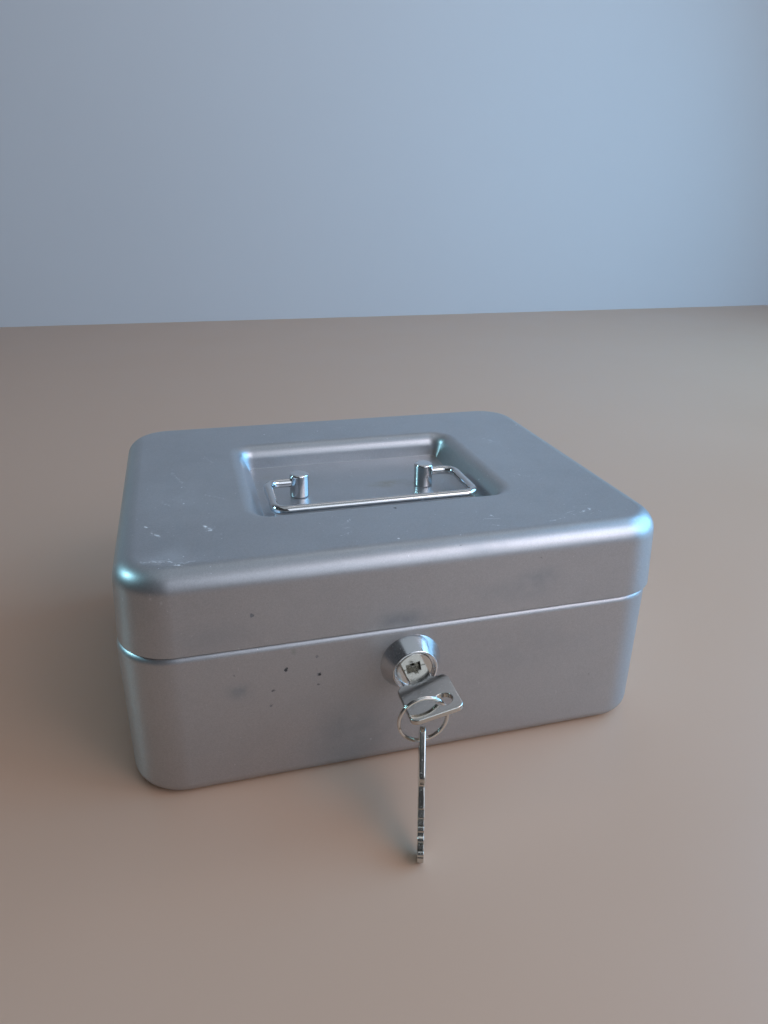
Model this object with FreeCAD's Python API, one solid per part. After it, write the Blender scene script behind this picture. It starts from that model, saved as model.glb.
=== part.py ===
import FreeCAD, Part
import math
import os

# Small steel cash box: pressed base and lid, sunk handle, rear pin hinges,
# wafer lock with key, ring with a spare key, and a coin tray inside.
# Millimetres. Origin at the centre of the underside, +X right along the
# front, +Y to the rear, +Z up.

V = FreeCAD.Vector
os.makedirs("parts", exist_ok=True)

# ---------------------------------------------------------------- dimensions
W = 200.0              # lid width at its lower edge
D = 160.0              # lid depth at its lower edge
R = 20.0               # lid corner radius at its lower edge
H = 86.5               # height to the top of the lid
T = 1.0                # sheet thickness
SEAM = 57.4            # lid's lower edge
DRAFT = math.radians(2.7)   # lid wall draft
TOP_R = 8.0            # radius of the lid's top edge
LAP = 0.7              # lid stands out beyond the base, each side
BASE_R = 5.0           # radius of the base's bottom edge
SHOULDER_Z = 56.8      # top of the base's shoulder under the lid
SHOULDER_R = 1.3
RIM_IN = 2.0           # rim's outside lies this far inside the lid outline
RIM_TOP = 65.5
CX, CY = W / 2 - R, D / 2 - R   # corner arc centres

REC_X, REC_Y = 53.8, 43.0       # half opening of the handle recess
REC_R = 11.5                    # its corner radius
REC_DEPTH = 10.0
REC_EDGE_R = 6.3                # rolled edge at the top of the recess
REC_FOOT_R = 1.5                # hollow radius at its floor
REC_SLOPE = math.radians(72)    # slope of its wall

POST_X = 27.3
POST_R = 4.0
BAIL_Z = 82.6                   # bail axis
BAIL_R = 1.85                   # wire radius
BAIL_ARM_X = 40.8
BAIL_REACH = 28.7
BAIL_BEND = 5.0

HINGE_X = 60.0                  # hinge centres
HINGE_Y, HINGE_Z = 82.8, 57.2   # hinge axis
HINGE_HALF = 18.0
KNUCKLE_R = 2.5
PIN_R = 1.25
RIVET_R = 1.5
RIVET_DX = 11.0
RIVET_Z_BASE = 45.0
RIVET_Z_LID = 71.5

LX, LZ = -2.0, 42.5             # lock axis
WALL_Y = -(CY + R - LAP)        # outer face of the base's front wall
COLLAR_R, COLLAR_TIP_R = 11.2, 8.0
COLLAR_Y = -85.6                # front of the collar
BARREL_R = 8.0
BARREL_END = -58.0
FLAT = 7.2                      # half width over the barrel's flats
PLUG_R = 6.0
PLUG_FACE = -84.6
CAM_Y0, CAM_Y1 = -57.4, -55.4
CAM_REACH = 20.0
KEY_TURN = 11.2                 # tilt of the key's plane, degrees
KEY_T = 2.0                     # key thickness
BOW_NEAR, BOW_FAR = -92.0, -110.0
BOW_HALF = 9.0
KEY_TIP = -69.2
KEY_HOLE = (3.7, -104.3, 2.9)   # offset from the key's axis, y, radius

RING_C = V(-5.4, -104.8, 37.8)
RING_R = 8.25
RING_WIRE = 0.65
E1 = V(1.0, 0.0, 0.0)           # level direction in the ring's plane
SPARE_DIR = V(-0.30, -0.954, 0.0)   # way the spare key leans, seen from above
E1.normalize()

TRAY_T = 1.6
TRAY_Z0, TRAY_Z1 = 46.0, 66.7
TRAY_FRONT = -49.0


# ------------------------------------------------------------------- helpers
def save(shape, name):
    shape.exportStep("parts/%s.step" % name)


def line(a, b):
    return Part.makeLine(V(*a), V(*b))


def arc(c, r, a0, a1):
    """Arc in the section plane: c is (u, z), angles in degrees."""
    am = (a0 + a1) / 2.0
    p = [V(c[0] + r * math.cos(math.radians(a)), 0, c[1] + r * math.sin(math.radians(a)))
         for a in (a0, am, a1)]
    return Part.Arc(p[0], p[1], p[2]).toShape()


def uz(u, z):
    return (u, 0.0, z)


def face_of(edges):
    return Part.Face(Part.Wire(Part.__sortEdges__(edges)))


def around(face, cx, cy):
    """Runs a section (u outward, z up) around a rounded rectangle whose
    corner arcs are centred at +-cx, +-cy: four straight runs, four corners."""
    out = []
    for k, (sx, sy, run) in enumerate(((1, -1, V(0, 2 * cy, 0)), (1, 1, V(-2 * cx, 0, 0)),
                                       (-1, 1, V(0, -2 * cy, 0)), (-1, -1, V(2 * cx, 0, 0)))):
        f = face.copy()
        f.rotate(V(0, 0, 0), V(0, 0, 1), 90.0 * k)
        f.translate(V(sx * cx, sy * cy, 0))
        out.append(f.extrude(run))
        g = face.copy()
        g.rotate(V(0, 0, 0), V(0, 0, 1), 90.0 * k - 90.0)
        g.translate(V(sx * cx, sy * cy, 0))
        out.append(g.revolve(V(sx * cx, sy * cy, 0), V(0, 0, 1), 90.0))
    return out


def rrect(hx, hy, r, z0, z1, x=0.0, y=0.0):
    """Upright prism on a rounded rectangle."""
    p = [V(hx, -hy + r, 0), V(hx, hy - r, 0), V(hx - r, hy, 0), V(-hx + r, hy, 0),
         V(-hx, hy - r, 0), V(-hx, -hy + r, 0), V(-hx + r, -hy, 0), V(hx - r, -hy, 0)]
    k = r * (1 - math.sqrt(0.5))
    m = [V(hx - k, hy - k, 0), V(-hx + k, hy - k, 0), V(-hx + k, -hy + k, 0), V(hx - k, -hy + k, 0)]
    e = [Part.makeLine(p[0], p[1]), Part.Arc(p[1], m[0], p[2]).toShape(),
         Part.makeLine(p[2], p[3]), Part.Arc(p[3], m[1], p[4]).toShape(),
         Part.makeLine(p[4], p[5]), Part.Arc(p[5], m[2], p[6]).toShape(),
         Part.makeLine(p[6], p[7]), Part.Arc(p[7], m[3], p[0]).toShape()]
    f = Part.Face(Part.Wire(e))
    f.translate(V(x, y, z0))
    return f.extrude(V(0, 0, z1 - z0))


def fuse(shapes):
    s = shapes[0].multiFuse(shapes[1:])
    return s.removeSplitter()


def poly_x(points, x0, x1):
    """Prism along X on a polygon of (y, z) points."""
    pts = [V(x0, y, z) for y, z in points]
    f = Part.Face(Part.makePolygon(pts + [pts[0]]))
    return f.extrude(V(x1 - x0, 0, 0))


def poly_z(points, z0, z1):
    """Upright prism on a polygon of (x, y) points."""
    pts = [V(x, y, z0) for x, y in points]
    f = Part.Face(Part.makePolygon(pts + [pts[0]]))
    return f.extrude(V(0, 0, z1 - z0))


def cyl(r, p, d, length):
    return Part.makeCylinder(r, length, p, d)


def cyl_y(r, y0, y1, x=LX, z=LZ):
    return Part.makeCylinder(r, y1 - y0, V(x, y0, z), V(0, 1, 0))


def box(x0, x1, y0, y1, z0, z1):
    return Part.makeBox(x1 - x0, y1 - y0, z1 - z0, V(x0, y0, z0))


def one(shape):
    """The single solid in a shape."""
    s = shape.Solids
    assert len(s) == 1, len(s)
    return s[0]


def wall_y(z):
    """Outer face of the lid's rear wall at height z."""
    return CY + R - (z - SEAM) * math.tan(DRAFT)


cd, sd = math.cos(DRAFT), math.sin(DRAFT)

# ---------------------------------------------------------------- base shell
bu = R - LAP                    # outer wall, measured from the arc centres
ru = R - RIM_IN                 # rim's outer face
bc = bu - BASE_R
sz = SHOULDER_Z - SHOULDER_R
sec = face_of([
    arc((bc, BASE_R), BASE_R, -90, 0),
    line(uz(bu, BASE_R), uz(bu, sz)),
    arc((bu - SHOULDER_R, sz), SHOULDER_R, 0, 90),
    line(uz(ru, SHOULDER_Z), uz(ru, RIM_TOP)),
    line(uz(ru, RIM_TOP), uz(ru - T, RIM_TOP)),
    line(uz(ru - T, RIM_TOP), uz(ru - T, SHOULDER_Z - T)),
    line(uz(ru - T, SHOULDER_Z - T), uz(bu - SHOULDER_R, SHOULDER_Z - T)),
    arc((bu - SHOULDER_R, sz), SHOULDER_R - T, 90, 0),
    line(uz(bu - T, sz), uz(bu - T, BASE_R)),
    arc((bc, BASE_R), BASE_R - T, 0, -90),
    line(uz(bc, T), uz(bc, 0)),
])
base = fuse(around(sec, CX, CY) + [rrect(CX + bc, CY + bc, bc, 0, T)])

lock_hole = cyl_y(BARREL_R + 0.05, WALL_Y - 2, WALL_Y + 3)
lock_hole = lock_hole.common(box(LX - FLAT - 0.05, LX + FLAT + 0.05, WALL_Y - 3, WALL_Y + 4, LZ - 20, LZ + 20))
cuts = [lock_hole]
base_rivet_at = [(s * HINGE_X + d, RIVET_Z_BASE) for s in (-1, 1) for d in (-RIVET_DX, RIVET_DX)]
REAR_Y = CY + bu
for x, z in base_rivet_at:
    cuts.append(cyl(RIVET_R + 0.02, V(x, REAR_Y - 3, z), V(0, 1, 0), 5))
base = one(base.cut(Part.makeCompound(cuts)))
save(base, "base_shell")

# ----------------------------------------------------------------- lid shell
zc = H - TOP_R
uc = R - TOP_R / cd - (zc - SEAM) * math.tan(DRAFT)
tip = (uc + TOP_R * cd, zc + TOP_R * sd)
ti = (uc + (TOP_R - T) * cd, zc + (TOP_R - T) * sd)
da = math.degrees(DRAFT)
sec = face_of([
    line(uz(R, SEAM), uz(*tip)),
    arc((uc, zc), TOP_R, da, 90),
    line(uz(uc, H), uz(uc, H - T)),
    arc((uc, zc), TOP_R - T, 90, da),
    line(uz(*ti), uz(R - T / cd, SEAM)),
    line(uz(R - T / cd, SEAM), uz(R, SEAM)),
])
pieces = around(sec, CX, CY)

rcx, rcy = REC_X - REC_R, REC_Y - REC_R     # recess corner centres
ez = H - REC_EDGE_R                         # rolled edge's centre height
floor = H - REC_DEPTH
fz = floor + REC_FOOT_R                     # foot radius centre height
sl = math.degrees(REC_SLOPE)
top_pt = (REC_R + REC_EDGE_R * math.cos(math.radians(90 + sl)), ez + REC_EDGE_R * math.sin(math.radians(90 + sl)))
foot_dz = fz + REC_FOOT_R * math.sin(math.radians(sl - 90))
fu = top_pt[0] - (top_pt[1] - foot_dz) / math.tan(REC_SLOPE) - REC_FOOT_R * math.cos(math.radians(sl - 90))


def on(c, r, a):
    return uz(c[0] + r * math.cos(math.radians(a)), c[1] + r * math.sin(math.radians(a)))


ec, fc = (REC_R, ez), (fu, fz)
sec = face_of([
    arc(ec, REC_EDGE_R, 90, 90 + sl),
    line(on(ec, REC_EDGE_R, 90 + sl), on(fc, REC_FOOT_R, sl - 90)),
    arc(fc, REC_FOOT_R, sl - 90, -90),
    line(uz(fu, floor), uz(fu, floor - T)),
    arc(fc, REC_FOOT_R + T, -90, sl - 90),
    line(on(fc, REC_FOOT_R + T, sl - 90), on(ec, REC_EDGE_R - T, 90 + sl)),
    arc(ec, REC_EDGE_R - T, 90 + sl, 90),
    line(uz(REC_R, H - T), uz(REC_R, H)),
])
pieces += around(sec, rcx, rcy)
top = rrect(CX + uc, CY + uc, uc, H - T, H).cut(rrect(REC_X, REC_Y, REC_R, H - T - 1, H + 1))
pieces += [top, rrect(rcx + fu, rcy + fu, fu, floor - T, floor)]
lid = fuse(pieces)

cuts = [cyl(2.1, V(s * POST_X, 0, floor - 3), V(0, 0, 1), 6) for s in (-1, 1)]
lid_rivet_at = [(s * HINGE_X + d, RIVET_Z_LID) for s in (-1, 1) for d in (-RIVET_DX, RIVET_DX)]
n_rear = V(0, cd, sd)           # outward normal of the lid's rear wall
for x, z in lid_rivet_at:
    cuts.append(cyl(RIVET_R + 0.02, V(x, wall_y(z), z) - n_rear * 3, n_rear, 5))
lid = one(lid.cut(Part.makeCompound(cuts)))
save(lid, "lid_shell")

# ------------------------------------------------------------ handle fittings
screws, washers = [], []
for s, name in ((-1, "handle_post_left"), (1, "handle_post_right")):
    x = s * POST_X
    post = cyl(POST_R, V(x, 0, floor), V(0, 0, 1), REC_DEPTH)
    edges = [e for e in post.Edges if abs(e.BoundBox.ZMin - H) < 1e-6 and e.BoundBox.ZLength < 1e-6]
    post = post.makeFillet(0.9, edges)
    foot = [e for e in post.Edges if abs(e.BoundBox.ZMax - floor) < 1e-6 and e.BoundBox.ZLength < 1e-6]
    post = post.makeFillet(0.6, foot)
    hole = cyl(BAIL_R + 0.05, V(x - s * 0.5, 0, BAIL_Z), V(s, 0, 0), 8)
    tapped = cyl(2.02, V(x, 0, floor - 1), V(0, 0, 1), 5.5)
    save(one(post.cut(hole.fuse(tapped))), name)
    shank = cyl(2.0, V(x, 0, floor - T - 0.8 - 0.5), V(0, 0, 1), 0.5 + 0.8 + T + 4.2)
    head = cyl(3.8, V(x, 0, floor - T - 0.8 - 2.4), V(0, 0, 1), 2.4)
    rim = [e for e in head.Edges if abs(e.BoundBox.ZMin - (floor - T - 3.2)) < 1e-6 and e.BoundBox.ZLength < 1e-6]
    head = head.makeFillet(0.9, rim)
    cross = box(x - 2.2, x + 2.2, -0.45, 0.45, floor - T - 4, floor - T - 2.2)
    cross = cross.fuse(box(x - 0.45, x + 0.45, -2.2, 2.2, floor - T - 4, floor - T - 2.2))
    screws.append(one(head.fuse(shank).removeSplitter().cut(cross)))
    w = cyl(4.6, V(x, 0, floor - T - 0.8), V(0, 0, 1), 0.8)
    washers.append(one(w.cut(cyl(2.05, V(x, 0, floor - T - 2), V(0, 0, 1), 4))))
save(Part.makeCompound(screws), "handle_screws")
save(Part.makeCompound(washers), "handle_washers")

# ----------------------------------------------------------------- bail wire
xin = POST_X - 0.1              # wire ends just short of the post's centre
a, b, r = BAIL_ARM_X, BAIL_REACH, BAIL_BEND
k = r * (1 - math.sqrt(0.5))


def bp(x, y):
    return V(x, y, BAIL_Z)


path = Part.Wire([
    Part.makeLine(bp(-xin, 0), bp(-a + r, 0)),
    Part.Arc(bp(-a + r, 0), bp(-a + k, -k), bp(-a, -r)).toShape(),
    Part.makeLine(bp(-a, -r), bp(-a, -b + r)),
    Part.Arc(bp(-a, -b + r), bp(-a + k, -b + k), bp(-a + r, -b)).toShape(),
    Part.makeLine(bp(-a + r, -b), bp(a - r, -b)),
    Part.Arc(bp(a - r, -b), bp(a - k, -b + k), bp(a, -b + r)).toShape(),
    Part.makeLine(bp(a, -b + r), bp(a, -r)),
    Part.Arc(bp(a, -r), bp(a - k, -k), bp(a - r, 0)).toShape(),
    Part.makeLine(bp(a - r, 0), bp(xin, 0)),
])
prof = Part.Wire([Part.makeCircle(BAIL_R, bp(-xin, 0), V(1, 0, 0))])
bail = path.makePipeShell([prof], True, False)
save(one(bail), "handle_bail")

# -------------------------------------------------------------------- hinges
for s, side in ((-1, "left"), (1, "right")):
    x = s * HINGE_X
    g = 6.1                     # gap for the lid's knuckle
    plate = box(x - HINGE_HALF, x + HINGE_HALF, REAR_Y, REAR_Y + 1, 38, 54.2)
    low = [e for e in plate.Edges if abs(e.BoundBox.ZMax - 38) < 1e-6 and e.BoundBox.XLength < 1e-6]
    plate = plate.makeFillet(3.0, low)
    plate = plate.cut(box(x - g - 0.2, x + g + 0.2, REAR_Y - 1, REAR_Y + 2, 53.6, 56))
    solids = [plate]
    for x0, x1 in ((x - HINGE_HALF, x - g), (x + g, x + HINGE_HALF)):
        solids.append(poly_x([(REAR_Y, 54.2), (REAR_Y, 53.0), (REAR_Y + 1, 53.0), (82.2, 55.2), (81.2, 56.8)], x0, x1))
        solids.append(cyl(KNUCKLE_R, V(x0, HINGE_Y, HINGE_Z), V(1, 0, 0), x1 - x0))
    leaf = fuse(solids)
    cuts = [cyl(PIN_R + 0.02, V(x - 30, HINGE_Y, HINGE_Z), V(1, 0, 0), 60)]
    cuts += [cyl(RIVET_R + 0.02, V(x + d, REAR_Y - 1, RIVET_Z_BASE), V(0, 1, 0), 4) for d in (-RIVET_DX, RIVET_DX)]
    save(one(leaf.cut(Part.makeCompound(cuts))), "hinge_leaf_base_" + side)

    # the lid's leaf follows the draft of the rear wall
    q = lambda z, t: (wall_y(z) + t * cd, z + t * sd)
    plate = poly_x([q(62.0, 0), q(77.5, 0), q(77.5, 1), q(62.0, 1)], x - HINGE_HALF, x + HINGE_HALF)
    high = [e for e in plate.Edges if e.BoundBox.XLength < 1e-6 and e.BoundBox.ZMin > 77.0]
    plate = plate.makeFillet(3.0, high)
    web = poly_x([q(63.5, 0), q(63.5, 1), (82.4, 59.3), (81.2, 57.8)], x - 6, x + 6)
    knuckle = cyl(KNUCKLE_R, V(x - 6, HINGE_Y, HINGE_Z), V(1, 0, 0), 12)
    stop = Part.makeBox(8, 4.6 - 1.8, 1.2, V(x - 4, 1.8, -0.6))
    stop.rotate(V(0, 0, 0), V(1, 0, 0), -10.2)
    stop.translate(V(0, HINGE_Y, HINGE_Z))
    leaf = fuse([plate, web, knuckle, stop])
    cuts = [cyl(PIN_R + 0.05, V(x - 30, HINGE_Y, HINGE_Z), V(1, 0, 0), 60)]
    for d in (-RIVET_DX, RIVET_DX):
        p = V(x + d, wall_y(RIVET_Z_LID), RIVET_Z_LID)
        cuts.append(cyl(RIVET_R + 0.02, p - n_rear * 1, n_rear, 4))
    save(one(leaf.cut(Part.makeCompound(cuts))), "hinge_leaf_lid_" + side)

    pin = cyl(PIN_R, V(x - HINGE_HALF - 0.6, HINGE_Y, HINGE_Z), V(1, 0, 0), 2 * HINGE_HALF + 1.2)
    ends = [e for e in pin.Edges if e.BoundBox.XLength < 1e-6]
    save(one(pin.makeFillet(0.5, ends)), "hinge_pin_" + side)


def rivet(p, n, inner):
    """Domed head outside the leaf, flattened tail inside the sheet.
    p lies on the sheet's outer face, n points out, inner is the sheet."""
    dome = Part.makeSphere(4.1, V(0, 0, -2.7)).common(Part.makeCylinder(3.2, 3, V(0, 0, 0)))
    shank = Part.makeCylinder(RIVET_R, 1.0 + inner + 0.4, V(0, 0, -1.0 - inner - 0.2))
    tail = Part.makeCylinder(2.4, 0.5, V(0, 0, -1.0 - inner - 0.5))
    s = fuse([dome, shank, tail])
    s.Placement = FreeCAD.Placement(p + n * 1.0, FreeCAD.Rotation(V(0, 0, 1), n))
    return one(s)


save(Part.makeCompound([rivet(V(x, REAR_Y, z), V(0, 1, 0), T) for x, z in base_rivet_at]), "hinge_rivets_base")
save(Part.makeCompound([rivet(V(x, wall_y(z), z), n_rear, T) for x, z in lid_rivet_at]), "hinge_rivets_lid")

# ------------------------------------------------------------------ lid catch
# J-shaped leg in the cam's plane, web over the rim, flange on the front wall.
cx0, cx1, cx2 = 9.5, 20.5, 25.0


def poly_y(points, y0, y1):
    pts = [V(x, y0, z) for x, z in points]
    f = Part.Face(Part.makePolygon(pts + [pts[0]]))
    return f.extrude(V(0, y1 - y0, 0))


leg = poly_y([(cx0, 33.5), (cx2 - 2, 33.5), (cx2, 35.5), (cx2, 68.5), (11.0, 68.5), (11.0, 66.9),
              (cx1, 58.0), (cx1, 37.2), (cx0, 37.2)], CAM_Y0, CAM_Y1)
hook = [e for e in leg.Edges if e.BoundBox.XLength < 1e-6 and e.BoundBox.ZLength < 1e-6 and abs(e.BoundBox.XMin - cx0) < 1e-6]
leg = leg.makeFillet(1.2, hook)
inner = lambda z, t: (-(wall_y(z) - (T + 0.01 + t) * cd), z - (T + 0.01 + t) * sd)
web = poly_x([(CAM_Y1, 68.5), (CAM_Y1, 66.9), inner(66.9, 0)[0:1] + (66.9,), inner(68.5, 0)[0:1] + (68.5,)], 11.0, cx2)
flange = poly_x([inner(67.0, 0), inner(77.0, 0), inner(77.0, 1.6), inner(67.0, 1.6)], 11.0, cx2)
catch = fuse([leg, web, flange])
catch = catch.cut(box(0, 40, -90, -50, 60, 66.9).common(box(0, 40, -90, CAM_Y0 - 0.001, 60, 66.9)))
save(one(catch), "lid_catch")

# ----------------------------------------------------------------------- lock
collar = Part.makeCone(COLLAR_R, COLLAR_TIP_R, WALL_Y - COLLAR_Y, V(LX, WALL_Y, LZ), V(0, -1, 0))
front = [e for e in collar.Edges if abs(e.BoundBox.YMax - COLLAR_Y) < 1e-4 and e.BoundBox.YLength < 1e-4]
collar = collar.makeFillet(0.3, front)
barrel = cyl_y(BARREL_R, WALL_Y - 0.5, BARREL_END)
barrel = barrel.common(box(LX - FLAT, LX + FLAT, WALL_Y - 1, BARREL_END + 1, LZ - 20, LZ + 20))
housing = fuse([collar, barrel])
housing = housing.cut(cyl_y(PLUG_R + 0.03, COLLAR_Y - 1, BARREL_END + 1))
housing = housing.cut(cyl_y(PLUG_R + 0.6, COLLAR_Y - 1, PLUG_FACE + 1.0))
housing = housing.cut(cyl_y(PLUG_R + 1.45, COLLAR_Y - 1, PLUG_FACE + 0.8))   # groove round the plug's flange
save(one(housing), "lock_housing")

inside = WALL_Y + T
washer = cyl_y(11.5, inside, inside + 1.0).cut(cyl_y(BARREL_R + 0.1, inside - 1, inside + 2))
save(one(washer), "lock_washer")
hexr = 11.0 / math.cos(math.radians(30))
pts = [V(LX + hexr * math.cos(math.radians(60 * i)), inside + 1.0, LZ + hexr * math.sin(math.radians(60 * i))) for i in range(7)]
nut = Part.Face(Part.makePolygon(pts)).extrude(V(0, 4.0, 0))
dish = Part.makeCone(hexr + 0.2 + 4.0, hexr - 0.55, 4.55, V(LX, inside + 1.0 - 0.55, LZ), V(0, 1, 0))
nut = nut.common(dish).cut(cyl_y(BARREL_R + 0.02, inside, inside + 8))
save(one(nut), "lock_nut")


def keyed(shape):
    """Turns a shape made about the axis with its width along X."""
    s = shape.copy()
    s.rotate(V(0, 0, 0), V(0, 1, 0), -KEY_TURN)
    s.translate(V(LX, 0, LZ))
    return s


flange = cyl_y(PLUG_R + 0.5, PLUG_FACE, PLUG_FACE + 0.95, 0, 0)
front = [e for e in flange.Edges if abs(e.BoundBox.YMax - PLUG_FACE) < 1e-4 and e.BoundBox.YLength < 1e-4]
flange = flange.makeFillet(0.4, front)
plug = fuse([flange, cyl_y(PLUG_R, PLUG_FACE + 0.5, -57.6, 0, 0)])
cuts = [box(-3.7, 3.7, PLUG_FACE - 1, -66.5, -1.15, 1.15), box(-2.9, 2.3, PLUG_FACE - 1, -82.2, 0.5, 2.9)]
wafer_at = (-80.8, -77.3, -73.8, -70.3)
cuts += [box(-8, 8, y - 0.5, y + 0.5, -3.3, 3.3) for y in wafer_at]
plug = keyed(one(plug.cut(Part.makeCompound(cuts))))
stub = box(LX - 2.8, LX + 2.8, -58.2, -55.5, LZ - 2.8, LZ + 2.8)
plug = fuse([plug, stub]).cut(cyl_y(1.53, -64.5, -55.0))
save(one(plug), "lock_plug")

wafers = []
for i, y in enumerate(wafer_at):
    w = box(-5.0, 5.0, y - 0.4, y + 0.4, -3.1, 3.1).cut(box(-3.8, 3.8, y - 1, y + 1, -1.25, 1.25))
    wafers.append(one(keyed(w)))
save(Part.makeCompound(wafers), "lock_wafers")

arm = box(LX - 5, LX + 5, CAM_Y0, CAM_Y1, LZ, LZ + CAM_REACH)
tips = [e for e in arm.Edges if abs(e.BoundBox.ZMin - (LZ + CAM_REACH)) < 1e-6 and e.BoundBox.XLength < 1e-6]
cam = fuse([arm.makeFillet(2.5, tips), cyl_y(7.5, CAM_Y0, CAM_Y1)])
cam = cam.cut(box(LX - 2.85, LX + 2.85, CAM_Y0 - 1, CAM_Y1 + 1, LZ - 2.85, LZ + 2.85))
save(one(cam), "lock_cam")

head = cyl_y(4.4, CAM_Y1, CAM_Y1 + 2.0)
rim = [e for e in head.Edges if abs(e.BoundBox.YMin - (CAM_Y1 + 2.0)) < 1e-6 and e.BoundBox.YLength < 1e-6]
head = head.makeFillet(0.8, rim)
slot = box(LX - 3.0, LX + 3.0, CAM_Y1 + 1.1, CAM_Y1 + 3, LZ - 0.45, LZ + 0.45)
slot = slot.fuse(box(LX - 0.45, LX + 0.45, CAM_Y1 + 1.1, CAM_Y1 + 3, LZ - 3.0, LZ + 3.0))
save(one(fuse([head, cyl_y(1.5, -63.5, CAM_Y1 + 0.5)]).cut(slot)), "cam_screw")


# ----------------------------------------------------------------------- keys
def key_shape():
    """Flat key about its own axis: width along X, length along Y, bow first."""
    t = KEY_T / 2
    bow = rrect(BOW_HALF, (BOW_NEAR - BOW_FAR) / 2, 2.5, -t, t, 0, (BOW_NEAR + BOW_FAR) / 2)
    neck = box(-4.0, 4.0, BOW_NEAR - 1, PLUG_FACE - 0.1, -t, t)
    blade = poly_z([(-3.5, PLUG_FACE - 1), (3.5, PLUG_FACE - 1), (3.5, KEY_TIP - 1.8), (1.5, KEY_TIP),
                    (-1.5, KEY_TIP), (-3.5, KEY_TIP - 1.8)], -t, t)
    key = fuse([bow, neck, blade])
    rim = [e for e in key.Edges if abs(abs(e.BoundBox.ZMin) - t) < 1e-6 and e.BoundBox.ZLength < 1e-6
           and e.BoundBox.YMax < BOW_NEAR + 0.01]
    key = key.makeChamfer(0.3, rim)
    cuts = [cyl(KEY_HOLE[2], V(KEY_HOLE[0], KEY_HOLE[1], -5), V(0, 0, 1), 10)]
    for y, d0, d1 in ((-80.8, 0.9, 0.5), (-77.3, 0.4, 1.1), (-73.8, 1.2, 0.6), (-70.3, 0.6, 0.9)):
        for side, dep in ((1, d0), (-1, d1)):
            e = side * 3.5
            cuts.append(poly_z([(e + side, y - 0.75 - dep), (e + side, y + 0.75 + dep), (e, y + 0.75 + dep * 0.6),
                                (e - side * dep, y + 0.6), (e - side * dep, y - 0.6), (e, y - 0.75 - dep * 0.6)], -5, 5))
    for side in (1, -1):
        cuts.append(box(-0.9, 0.5, BOW_NEAR + 3.5, KEY_TIP + 1, side * t - 0.45, side * t + 0.45))
    return one(key.cut(Part.makeCompound(cuts)))


key = key_shape()
save(one(keyed(key)), "lock_key")

ring = Part.makeTorus(RING_R, RING_WIRE, V(0, 0, 0), V(0, 0, 1))
n_ring = E1.cross(V(0, 0, 1))
ring.Placement = FreeCAD.Placement(RING_C, FreeCAD.Rotation(V(0, 0, 1), n_ring))
save(one(ring), "key_ring")

# The spare key hangs edge-on from the lowest point of the ring and leans out
# to the front until its tip stands on the floor.
B = RING_C - V(0, 0, RING_R)
h = V(SPARE_DIR)
h.normalize()
grip = V(KEY_HOLE[0], KEY_HOLE[1] - 1.65, 0)


def hung(lean):
    f = math.radians(lean)
    dk = h * math.sin(f) - V(0, 0, 1) * math.cos(f)
    up = h * math.cos(f) + V(0, 0, 1) * math.sin(f)
    n = up.cross(dk)
    m = FreeCAD.Matrix(up.x, dk.x, n.x, 0, up.y, dk.y, n.y, 0, up.z, dk.z, n.z, 0, 0, 0, 0, 1)
    s = key.copy()
    s.translate(grip * -1.0)
    s.transformShape(m)
    s.translate(B)
    return s


lo, hi = 30.0, 60.0
for i in range(40):
    mid = (lo + hi) / 2
    if min(v.Z for v in hung(mid).Vertexes) < 0.05:
        lo = mid
    else:
        hi = mid
spare = hung(hi)
save(one(spare), "spare_key")

# ------------------------------------------------------------------ coin tray
# Hangs by its flange on the rim at the sides and the rear; the front strip
# stays open for the lock and the catch.
tx, ty = CX + 15.0, CY + 15.0


def tray_outline(side_x, rear_y, rr, front_y, rf, z0, z1):
    k1, k2 = rr * (1 - math.sqrt(0.5)), rf * (1 - math.sqrt(0.5))
    p = [V(side_x, front_y + rf, z0), V(side_x, rear_y - rr, z0), V(side_x - rr, rear_y, z0),
         V(-side_x + rr, rear_y, z0), V(-side_x, rear_y - rr, z0), V(-side_x, front_y + rf, z0),
         V(-side_x + rf, front_y, z0), V(side_x - rf, front_y, z0)]
    m = [V(side_x - k1, rear_y - k1, z0), V(-side_x + k1, rear_y - k1, z0),
         V(-side_x + k2, front_y + k2, z0), V(side_x - k2, front_y + k2, z0)]
    w = Part.Wire([Part.makeLine(p[0], p[1]), Part.Arc(p[1], m[0], p[2]).toShape(),
                   Part.makeLine(p[2], p[3]), Part.Arc(p[3], m[1], p[4]).toShape(),
                   Part.makeLine(p[4], p[5]), Part.Arc(p[5], m[2], p[6]).toShape(),
                   Part.makeLine(p[6], p[7]), Part.Arc(p[7], m[3], p[0]).toShape()])
    return Part.Face(w).extrude(V(0, 0, z1 - z0))


body = tray_outline(tx, ty, 15.0, TRAY_FRONT, 4.0, TRAY_Z0, TRAY_Z1)
flange = tray_outline(CX + 17.5, CY + 17.5, 17.5, TRAY_FRONT, 4.0, RIM_TOP + 0.02, TRAY_Z1)
tray = fuse([body, flange])
wells = []
n_wells = 5
gap = 1.8
x_lo, x_hi = -tx + TRAY_T + 0.2, tx - TRAY_T - 0.2
pitch = (x_hi - x_lo + gap) / n_wells


def pocket(x0, x1, y0, y1, corner, foot):
    s = rrect((x1 - x0) / 2, (y1 - y0) / 2, corner, TRAY_Z0 + TRAY_T, TRAY_Z1 + 3, (x0 + x1) / 2, (y0 + y1) / 2)
    z = TRAY_Z0 + TRAY_T
    low = [e for e in s.Edges if abs(e.BoundBox.ZMax - z) < 1e-4]
    return s.makeFillet(foot, low)


for i in range(n_wells):
    x0 = x_lo + i * pitch
    wells.append(pocket(x0, x0 + pitch - gap, TRAY_FRONT + TRAY_T + 0.2, 14.0, 7.0, 6.0))
wells.append(pocket(x_lo, x_hi, 16.0, ty - TRAY_T - 0.2, 13.2, 6.0))
tray = tray.cut(Part.makeCompound(wells))
save(one(tray), "coin_tray")
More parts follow.
